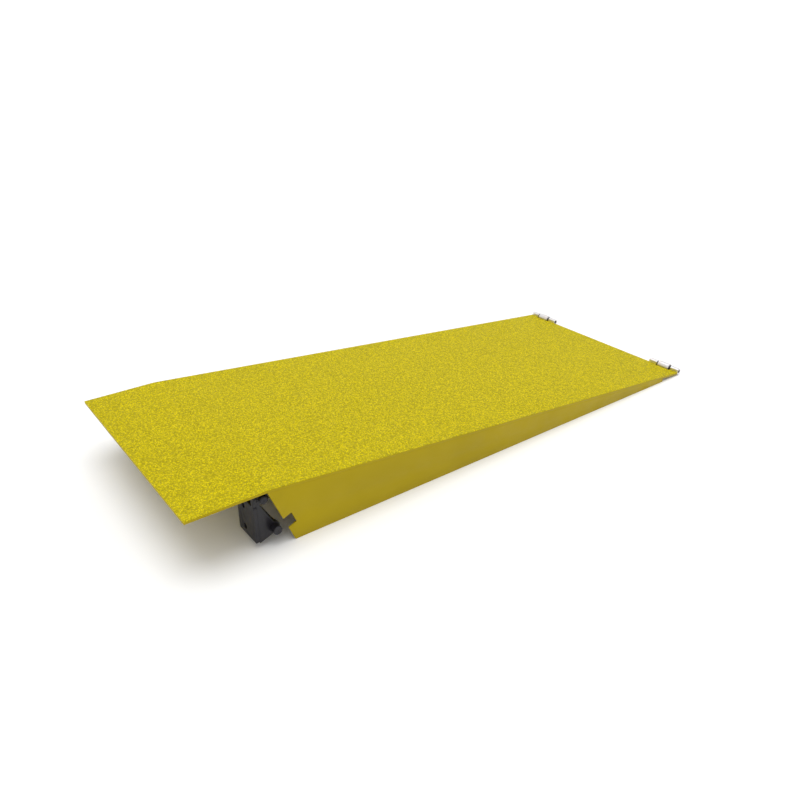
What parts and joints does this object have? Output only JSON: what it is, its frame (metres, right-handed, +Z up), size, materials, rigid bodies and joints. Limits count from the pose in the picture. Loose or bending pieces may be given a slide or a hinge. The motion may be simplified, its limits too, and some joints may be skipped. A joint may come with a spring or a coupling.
{
  "type": "hinged drive-on ramp",
  "caption": "Hinged drive-on ramp for a vehicle lift or platform: bent steel plate with grip coating, skirts, ribs, toe rollers and a bolt-on hinge bracket with a stop bar.",
  "frame": {"origin": "middle of the base, on the floor, under the middle of the overall box", "axes": "+X down the ramp to the toe, +Y to the driver's right going up, +Z up"},
  "size_m": [1.2446, 0.48, 0.1149],
  "materials": {
    "yellow_paint": "satin powder coat",
    "yellow_grit": "coarse anti-slip grit under yellow paint",
    "black_paint": "satin black paint",
    "zinc_plate": "bright zinc plate",
    "dark_steel": "black oxide"
  },
  "bodies": {
    "lift_bracket": {"foot_plate_left": "black_paint", "foot_plate_right": "black_paint", "lug_plate_left": "black_paint", "lug_plate_right": "black_paint", "hinge_rod": "black_paint", "stop_bar": "black_paint", "rod_washers": "dark_steel", "split_pins": "dark_steel"},
    "ramp": {"deck_plate": "yellow_paint", "grit_coating": "yellow_grit", "side_skirt_left": "yellow_paint", "side_skirt_right": "yellow_paint", "inner_rib_left": "yellow_paint", "inner_rib_right": "yellow_paint", "cross_rib_upper_left": "yellow_paint", "cross_rib_upper_middle": "yellow_paint", "cross_rib_upper_right": "yellow_paint", "cross_rib_central_left": "yellow_paint", "cross_rib_central_middle": "yellow_paint", "cross_rib_central_right": "yellow_paint", "cross_rib_lower_left": "yellow_paint", "cross_rib_lower_middle": "yellow_paint", "cross_rib_lower_right": "yellow_paint", "hinge_eye_left_outer": "yellow_paint", "hinge_eye_left_inner": "yellow_paint", "hinge_eye_right_outer": "yellow_paint", "hinge_eye_right_inner": "yellow_paint", "toe_knuckle_left_outer": "zinc_plate", "toe_knuckle_left_inner": "zinc_plate", "toe_knuckle_right_outer": "zinc_plate", "toe_knuckle_right_inner": "zinc_plate", "roller_axle_left": "dark_steel", "roller_axle_right": "dark_steel", "roller_washers": "dark_steel"},
    "roller_left": {"toe_roller_left": "zinc_plate"},
    "roller_right": {"toe_roller_right": "zinc_plate"}
  },
  "joints": [
    {"name": "ramp_hinge", "type": "hinge", "parent": "lift_bracket", "child": "ramp", "pos_m": [-0.48925, 0, 0.096], "axis": [0, 1, 0], "range_deg": [0, 21.5]},
    {"name": "roller_spin_left", "type": "hinge", "parent": "ramp", "child": "roller_left", "pos_m": [0.61325, -0.199, 0.009], "axis": [0, 1, 0], "continuous": true},
    {"name": "roller_spin_right", "type": "hinge", "parent": "ramp", "child": "roller_right", "pos_m": [0.61325, 0.199, 0.009], "axis": [0, 1, 0], "continuous": true}
  ]
}
